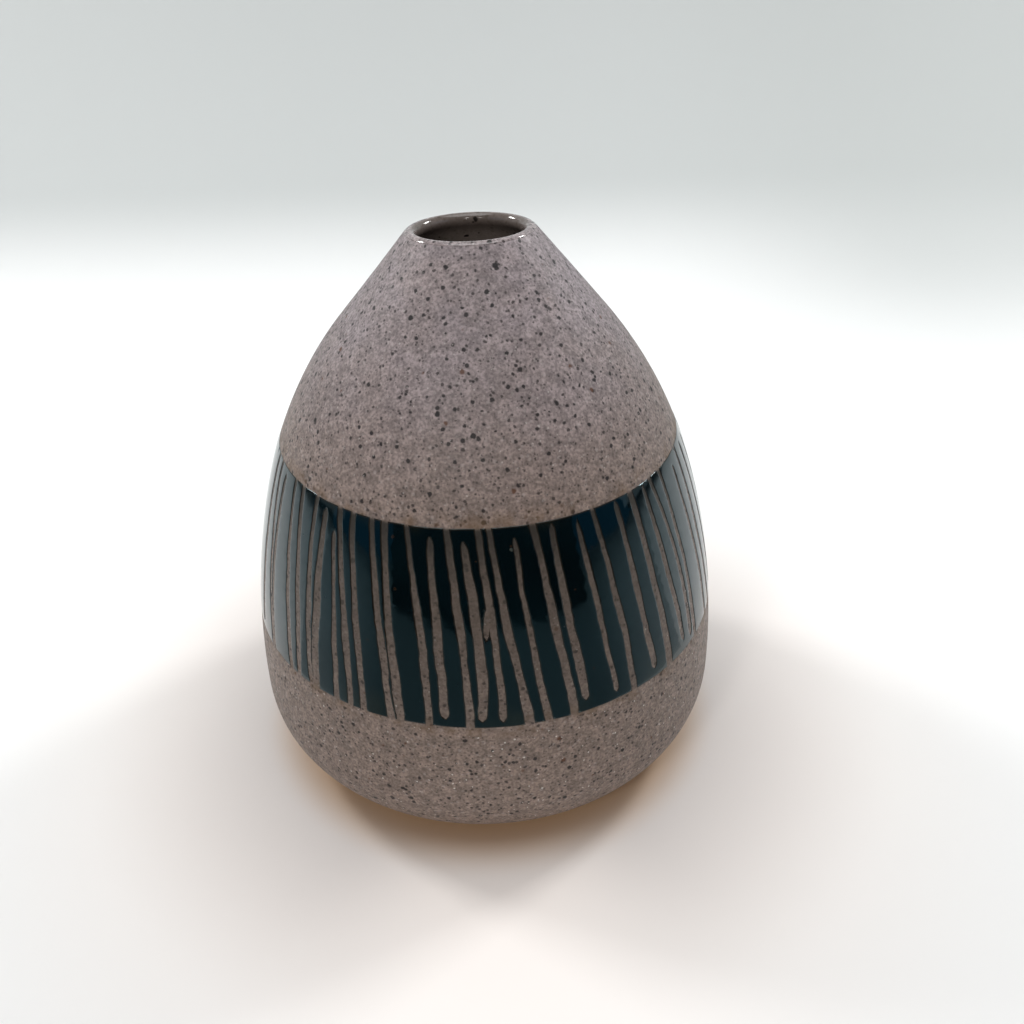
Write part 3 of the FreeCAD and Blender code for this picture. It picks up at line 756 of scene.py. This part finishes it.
def make_clear_glaze():
    """The speckled clay under a clear glossy glaze, browner down inside, where it is also painted
    lighter as painted light in the dim hollow.
    """
    t = Tree("clear_glaze")
    coords = t.add("TexCoord").outputs["Object"]
    colour = clay_colour(t, coords, rgb(0.285, 0.245, 0.250), rgb(0.235, 0.195, 0.170))
    place = t.add("SeparateXYZ", Vector=coords)
    # Painted light: below the lip the colour is mixed towards a lighter brown, brightening the dim
    # inner wall.
    inside = t.steps(place.outputs[2], 0.1015, 0.0985)
    colour = t.mix(t.math("MULTIPLY", inside, 0.6), colour, rgb(0.400, 0.340, 0.290))
    # Painted shade: the colour is darkened just inside the lip, whose plane leans, and at the back
    # it is darkened from the crest on.
    lean = t.math("MULTIPLY_ADD", place.outputs[1], LIP_TILT[1],
                  t.math("MULTIPLY", place.outputs[0], LIP_TILT[0]))
    upright = t.math("SUBTRACT", place.outputs[2], lean)
    level = t.add("CombineXYZ", X=place.outputs[0], Y=place.outputs[1])
    away = t.add("VectorMath", {"operation": "LENGTH"})
    t.feed(away.inputs[0], level.outputs[0])
    crest = Section.lip[0] * MM
    past = t.math("MULTIPLY", t.steps(away.outputs["Value"], crest, crest - 0.0006),
                  t.steps(place.outputs[1], -0.005, 0.003))
    painted_lip_shade = t.math("MULTIPLY", t.steps(upright, 0.0985, 0.1008),
                    t.math("MAXIMUM", t.steps(upright, 0.1024, 0.1017), past))
    colour = t.mix(t.math("MULTIPLY", painted_lip_shade, 0.85), colour, rgb(0.115, 0.094, 0.080))
    rough = t.ragged(coords, 1500.0, 0.00022)
    colour = t.mix(t.math("MULTIPLY", t.specks(rough, 0.0021, 0.00042, 0.8, 0.5, 41), 0.95),
                   colour, rgb(0.012, 0.009, 0.008))
    t.feed(t.shader.inputs["Base Color"], colour)
    t.feed(t.shader.inputs["Roughness"],
           t.steps(t.noise(coords, 300.0, 2.0), 0.3, 0.7, 0.08, 0.14))
    t.feed(t.shader.inputs["Normal"], t.bump(t.noise(coords, 420.0, 2.0), 0.2, 0.00025))
    t.shader.inputs["IOR"].default_value = 1.5
    return t.material


# ---------------------------------------------------------------- the pieces
def place_pieces():
    clay = make_clay()
    body = make_body()
    body.data.materials.append(clay)
    band = make_band()
    band.data.materials.append(make_teal_glaze())
    liner = make_liner()
    liner.data.materials.append(make_clear_glaze())
    for piece, node, slot in ((body, "stoneware_body", "bare_clay"),
                              (band, "teal_glaze_band", "teal_glaze"),
                              (liner, "liner_glaze", "clear_glaze")):
        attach(piece, "root")
        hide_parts(node)


# ---------------------------------------------------------------- floor, lights, camera
def make_paper():
    """White paper, with painted light and shade: a warm painted glow round the vase, a painted
    shadow beside it, a warm painted contact shadow under it, and painted shade greying the
    backdrop upwards and in its far right corner.
    """
    t = Tree("paper")
    coords = t.add("TexCoord").outputs["Object"]
    reach = t.add("VectorMath", {"operation": "LENGTH"})
    t.feed(reach.inputs[0], coords)
    place = t.add("SeparateXYZ", Vector=coords)
    # Painted light: a warm glow of light bounced from the clay, on the paper round the vase.
    near = t.steps(reach.outputs["Value"], 0.040, 0.120, 1.0, 0.0)
    colour = t.mix(near, rgb(0.93, 0.94, 0.94), rgb(0.93, 0.87, 0.83))
    # Painted shadow: the paper is duller beside the vase, to its left and right.
    aside = t.math("DIVIDE", t.math("ABSOLUTE", place.outputs[0]), reach.outputs["Value"])
    beside = t.math("MULTIPLY", t.steps(aside, 0.15, 0.60),
                    t.steps(reach.outputs["Value"], 0.048, 0.086, 1.0, 0.0))
    colour = t.mix(beside, colour, rgb(0.69, 0.65, 0.63))
    # Painted shadow: a dark, warm contact shadow on the paper right round the foot.
    under = t.steps(reach.outputs["Value"], 0.036, 0.049, 1.0, 0.0)
    colour = t.mix(under, colour, rgb(0.62, 0.40, 0.22))
    # Painted shade: the backdrop greys as it rises.
    rise = t.steps(t.height(coords), -0.009, 0.030)
    colour = t.mix(rise, colour, rgb(0.540, 0.565, 0.563))
    # Painted shade: the backdrop's far right corner is darker still.
    corner = t.math("MULTIPLY", t.steps(place.outputs[0], 0.05, 0.20),
                    t.steps(place.outputs[1], 0.10, 0.26))
    colour = t.mix(t.math("MULTIPLY", corner, 0.7), colour, rgb(0.485, 0.510, 0.505))
    t.feed(t.shader.inputs["Base Color"], colour)
    t.shader.inputs["Roughness"].default_value = 0.9
    t.shader.inputs["Specular IOR Level"].default_value = 0.2
    return t.material


def make_sweep():
    """A pale floor that curves up into a backdrop behind the vase."""
    front, bend, radius, top = -1.6, 0.20, 0.22, 1.4
    profile = [(front, 0.0), (-0.4, 0.0), (0.0, 0.0), (bend, 0.0)]
    for step in range(1, 25):
        angle = math.pi / 2 * step / 24
        profile.append((bend + radius * math.sin(angle), radius * (1 - math.cos(angle))))
    profile.append((bend + radius, top))
    half = 1.6
    points = [(x, y, z) for y, z in profile for x in (-half, half)]
    faces = [(2 * i, 2 * i + 1, 2 * i + 3, 2 * i + 2) for i in range(len(profile) - 1)]
    mesh = bpy.data.meshes.new("sweep")
    mesh.from_pydata(points, [], faces)
    mesh.shade_smooth()
    sweep = bpy.data.objects.new("sweep", mesh)
    bpy.context.scene.collection.objects.link(sweep)
    mesh.materials.append(make_paper())


def curved_card(name, material, azimuths, count, edges, seen_by_matt):
    """A strip of the stage that bends round the vase, out of sight and casting no shadow.

    azimuths are where it starts and ends, and each of its two edges is a reach and a height.
    """
    first, last = azimuths
    points = []
    for step in range(count + 1):
        angle = math.radians(first + (last - first) * step / count)
        for reach, z in edges:
            points.append((reach * math.cos(angle), reach * math.sin(angle), z))
    faces = [(2 * i, 2 * i + 1, 2 * i + 3, 2 * i + 2) for i in range(count)]
    mesh = bpy.data.meshes.new(name)
    mesh.from_pydata(points, [], faces)
    mesh.materials.append(material)
    card = bpy.data.objects.new(name, mesh)
    bpy.context.scene.collection.objects.link(card)
    card.visible_camera = False
    card.visible_diffuse = seen_by_matt
    card.visible_shadow = False


def make_dark_card():
    """A black card in front of the vase, which the glaze reflects."""
    t = Tree("black_card")
    t.shader.inputs["Base Color"].default_value = rgb(0.004, 0.004, 0.004)
    t.shader.inputs["Roughness"].default_value = 1.0
    curved_card("dark_card", t.material, (-134, -46), 24, ((0.295, 0.0), (0.295, 0.60)), True)


def make_shaded_floor():
    """The part of the floor that the dark card shades, as the glaze reflects it."""
    t = Tree("shaded_paper")
    outward = t.add("VectorMath", {"operation": "NORMALIZE"})
    t.feed(outward.inputs[0], t.add("TexCoord").outputs["Object"])
    level = t.add("SeparateXYZ", Vector=outward.outputs[0])
    aside = t.steps(t.math("ABSOLUTE", level.outputs[0]), 0.60, 1.0)
    t.feed(t.shader.inputs["Base Color"],
           t.mix(aside, rgb(0.19, 0.24, 0.25), rgb(0.52, 0.56, 0.57)))
    t.shader.inputs["Roughness"].default_value = 0.9
    curved_card("shaded_floor", t.material, (-172, -8), 40,
                ((0.082, 0.0005), (0.90, 0.0005)), False)


def make_dim_room():
    """A glowing card, seen only in the glaze's reflections, as a painted reflection of the dim
    bluish room beyond the lights.
    """
    t = Tree("dim_blue")
    t.shader.inputs["Base Color"].default_value = rgb(0.0, 0.0, 0.0)
    t.shader.inputs["Specular IOR Level"].default_value = 0.0
    t.shader.inputs["Emission Color"].default_value = rgb(0.12, 0.50, 0.85)
    t.shader.inputs["Emission Strength"].default_value = 0.26
    curved_card("dim_room", t.material, (-170, -10), 40, ((1.3, 0.0), (1.3, 0.9)), False)


def make_light(name, place, aim, width, height, power, colour):
    data = bpy.data.lights.new(name, "AREA")
    data.shape = "RECTANGLE"
    data.size = width
    data.size_y = height
    data.energy = power
    data.color = colour
    light = bpy.data.objects.new(name, data)
    light.location = place
    light.rotation_euler = (Vector(aim) - Vector(place)).to_track_quat("-Z", "Y").to_euler()
    bpy.context.scene.collection.objects.link(light)
    return light


def make_lights():
    centre = (0, 0, 0.03)
    make_light("left_lamp", (-0.46, 0.28, 0.48), centre, 0.13, 0.13, 1.76, (1.0, 0.99, 0.98))
    make_light("right_lamp", (0.46, 0.28, 0.48), centre, 0.13, 0.13, 1.86, (1.0, 0.99, 0.98))
    make_light("left_panel", (-0.60, 0.05, 0.30), centre, 0.5, 0.5, 0.22, (0.97, 0.99, 1.0))
    make_light("right_panel", (0.60, 0.05, 0.30), centre, 0.5, 0.5, 0.34, (0.95, 0.98, 1.0))
    make_light("top_panel", (0.0, -0.05, 0.80), centre, 0.6, 0.6, 3.15, (0.98, 0.99, 1.0))
    make_light("front_lamp", (-0.26, -0.50, 0.42), centre, 0.09, 0.09, 0.75, (1.0, 0.96, 0.93))
    make_light("front_fill", (0.05, -0.56, 0.45), centre, 0.06, 0.06, 0.56, (1.0, 0.96, 0.93))
    glow = make_light("front_glow", (0.0, -0.28, 0.10), centre, 0.30, 0.16, 0.065,
                      (1.0, 0.46, 0.20))
    glow.visible_glossy = False
    world = bpy.data.worlds.new("studio")
    bpy.context.scene.world = world
    world.use_nodes = True
    background = world.node_tree.nodes["Background"]
    background.inputs["Color"].default_value = rgb(0.80, 0.90, 1.0)
    background.inputs["Strength"].default_value = 0.04


CAMERA_PLACE = (0.0, -0.16685, 0.15443)
CAMERA_PITCH = 32.83      # degrees below the horizon
CAMERA_TURN = 1.96        # degrees to the right
CAMERA_ROLL = -1.437
CAMERA_LENS = 36.035      # a phone's main lens, on a 36 mm frame


def make_camera():
    data = bpy.data.cameras.new("camera")
    data.lens = CAMERA_LENS
    data.sensor_width = 36.0
    data.clip_start = 0.005
    data.clip_end = 20.0
    camera = bpy.data.objects.new("camera", data)
    pitch, turn, roll = (math.radians(a) for a in (CAMERA_PITCH, CAMERA_TURN, CAMERA_ROLL))
    forward = Vector((math.sin(turn) * math.cos(pitch), math.cos(turn) * math.cos(pitch),
                      -math.sin(pitch)))
    right = Vector((math.cos(turn), -math.sin(turn), 0.0))
    up = right.cross(forward)
    rolled_right = right * math.cos(roll) + up * math.sin(roll)
    rolled_up = up * math.cos(roll) - right * math.sin(roll)
    axes = Matrix((rolled_right, rolled_up, -forward)).transposed()
    camera.matrix_world = Matrix.Translation(CAMERA_PLACE) @ axes.to_4x4()
    bpy.context.scene.collection.objects.link(camera)
    bpy.context.scene.camera = camera


place_pieces()
make_sweep()
make_dark_card()
make_shaded_floor()
make_dim_room()
make_lights()
make_camera()
bpy.context.scene.view_settings.view_transform = "Standard"
